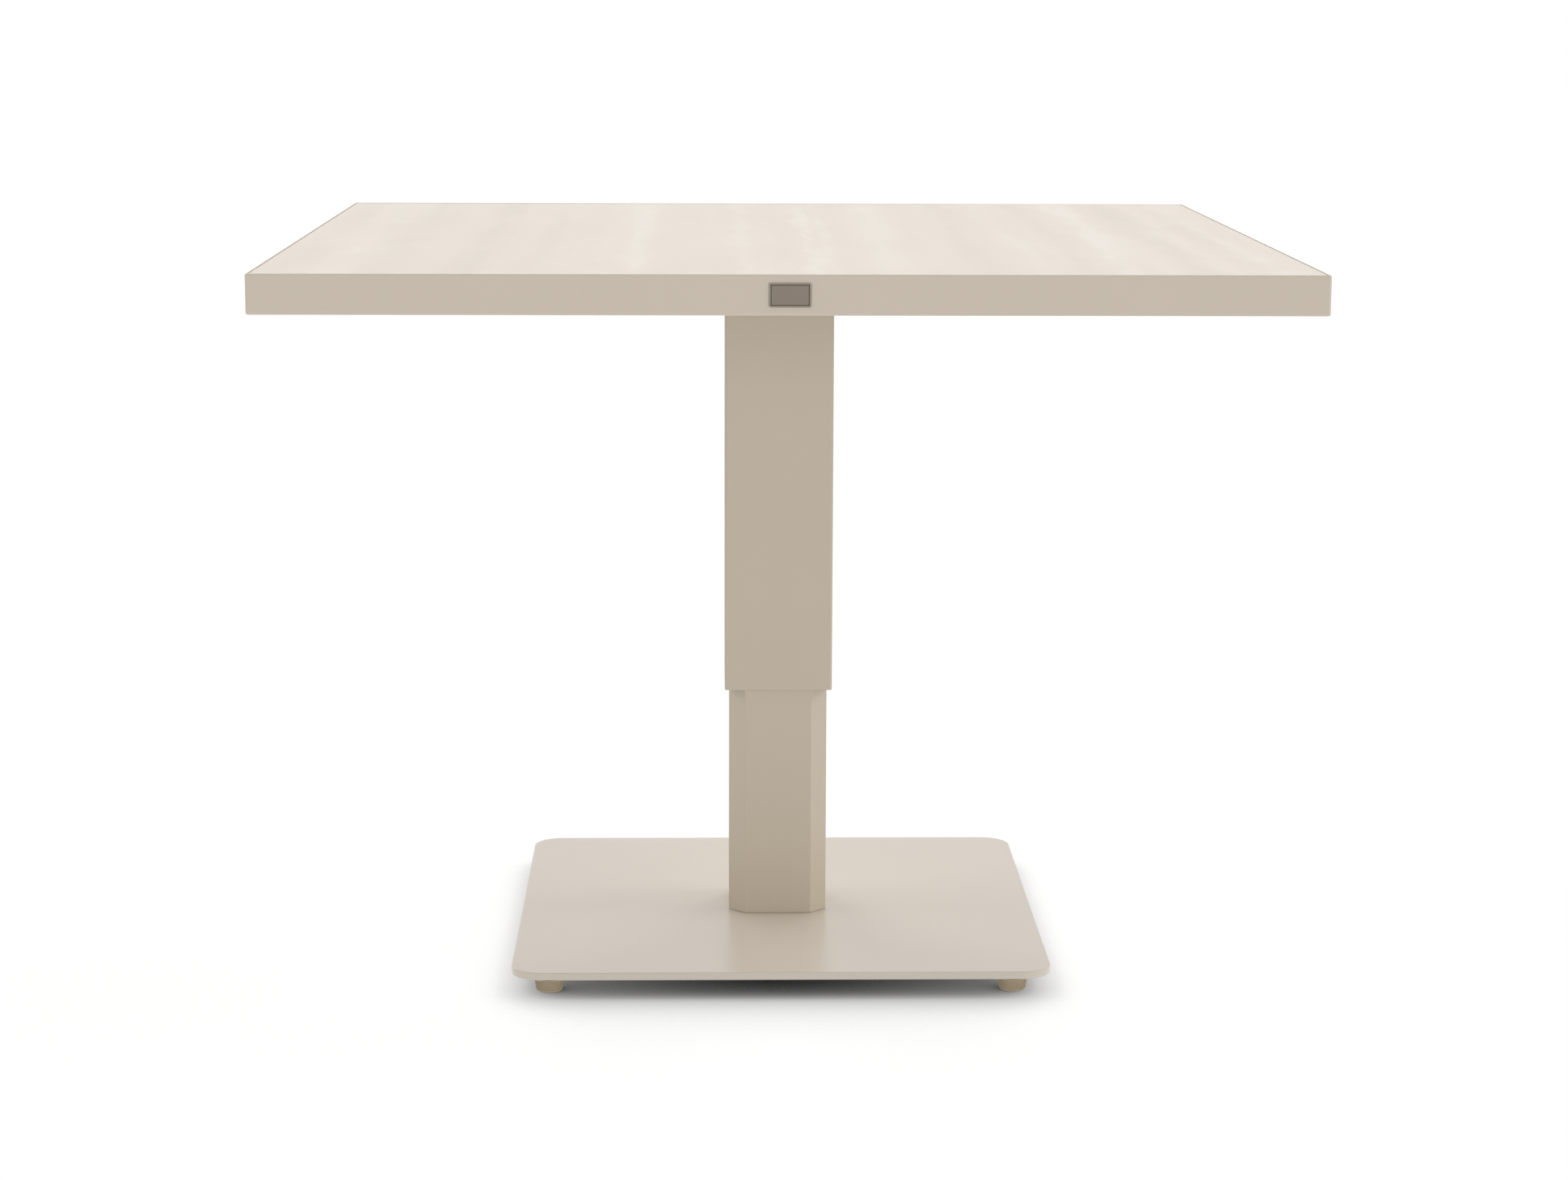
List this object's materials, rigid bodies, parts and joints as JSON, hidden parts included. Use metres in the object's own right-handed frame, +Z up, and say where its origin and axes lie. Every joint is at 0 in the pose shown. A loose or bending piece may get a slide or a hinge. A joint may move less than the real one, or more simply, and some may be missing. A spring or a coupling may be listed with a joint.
{
  "type": "pedestal table",
  "caption": "Square height-adjustable pedestal table: a framed stone-look top on a telescoping square column and a thin square base with levelling feet.",
  "frame": {"origin": "on the floor, under the middle of the column", "axes": "+Z up, out of the table top; +X to the right, towards the release lever; +Y to the back, away from the badge"},
  "size_m": [1, 1.0013, 0.76],
  "materials": {
    "column_paint": "fine satin powder coat, warm sand beige",
    "frame_powder_coat": "fine satin powder coat, warm sand beige",
    "slab_ceramic": "matt, pale travertine with fine straight veins",
    "zinc_steel": "bright zinc plate",
    "rod_chrome": "polished",
    "cylinder_paint": "semi-gloss black paint",
    "bare_aluminium": "as cast",
    "badge_metal": "satin pewter",
    "glide_plastic": "moulded taupe nylon",
    "guide_plastic": "moulded acetal",
    "grip_plastic": "fine texture",
    "pad_rubber": "clear silicone"
  },
  "bodies": {
    "base": {"base_plate": "column_paint", "weld_nuts": "zinc_steel", "inner_column": "column_paint", "column_foot_plate": "column_paint", "column_foot_bolts": "zinc_steel", "inner_guide_cap": "guide_plastic", "gas_cylinder": "cylinder_paint", "gas_cylinder_nut": "zinc_steel"},
    "upper": {"gas_rod": "rod_chrome", "gas_rod_nut": "zinc_steel", "outer_column": "column_paint", "outer_guide_collar": "guide_plastic", "head_plate": "column_paint", "head_bolts": "zinc_steel", "rivet_nuts": "zinc_steel", "frame_rail_front": "frame_powder_coat", "frame_rail_right": "frame_powder_coat", "frame_rail_back": "frame_powder_coat", "frame_rail_left": "frame_powder_coat", "corner_cleats": "bare_aluminium", "cross_rail_front": "frame_powder_coat", "cross_rail_back": "frame_powder_coat", "tabletop_slab": "slab_ceramic", "slab_pads": "pad_rubber", "badge_plate": "badge_metal", "lever_bracket": "zinc_steel", "lever_pivot_pin": "zinc_steel", "lever_pivot_clip": "zinc_steel"},
    "release_lever": {"lever_bar": "zinc_steel", "lever_grip": "grip_plastic"},
    "release_valve": {"release_rod": "zinc_steel"},
    "foot_front_left": {"foot_stem_front_left": "zinc_steel", "foot_glide_front_left": "glide_plastic"},
    "foot_front_right": {"foot_stem_front_right": "zinc_steel", "foot_glide_front_right": "glide_plastic"},
    "foot_back_right": {"foot_stem_back_right": "zinc_steel", "foot_glide_back_right": "glide_plastic"},
    "foot_back_left": {"foot_stem_back_left": "zinc_steel", "foot_glide_back_left": "glide_plastic"}
  },
  "joints": [
    {"name": "table_height", "type": "slide", "parent": "base", "child": "upper", "axis": [0, 0, 1], "range_m": [-0.245, 0]},
    {"name": "lever_pull", "type": "hinge", "parent": "upper", "child": "release_lever", "pos_m": [0.05, 0, 0.7417], "axis": [0, -1, 0], "range_deg": [0, 4], "stiffness_Nm_per_rad": 3},
    {"name": "release_press", "type": "slide", "parent": "upper", "child": "release_valve", "axis": [0, 0, -1], "range_m": [0, 0.0035]},
    {"name": "foot_level_front_left", "type": "slide", "parent": "base", "child": "foot_front_left", "axis": [0, 0, -1], "range_m": [0, 0.006]},
    {"name": "foot_level_front_right", "type": "slide", "parent": "base", "child": "foot_front_right", "axis": [0, 0, -1], "range_m": [0, 0.006]},
    {"name": "foot_level_back_right", "type": "slide", "parent": "base", "child": "foot_back_right", "axis": [0, 0, -1], "range_m": [0, 0.006]},
    {"name": "foot_level_back_left", "type": "slide", "parent": "base", "child": "foot_back_left", "axis": [0, 0, -1], "range_m": [0, 0.006]}
  ],
  "couplings": [
    {"joint": "release_press", "follows": "lever_pull", "m_per_rad": 0.05}
  ]
}
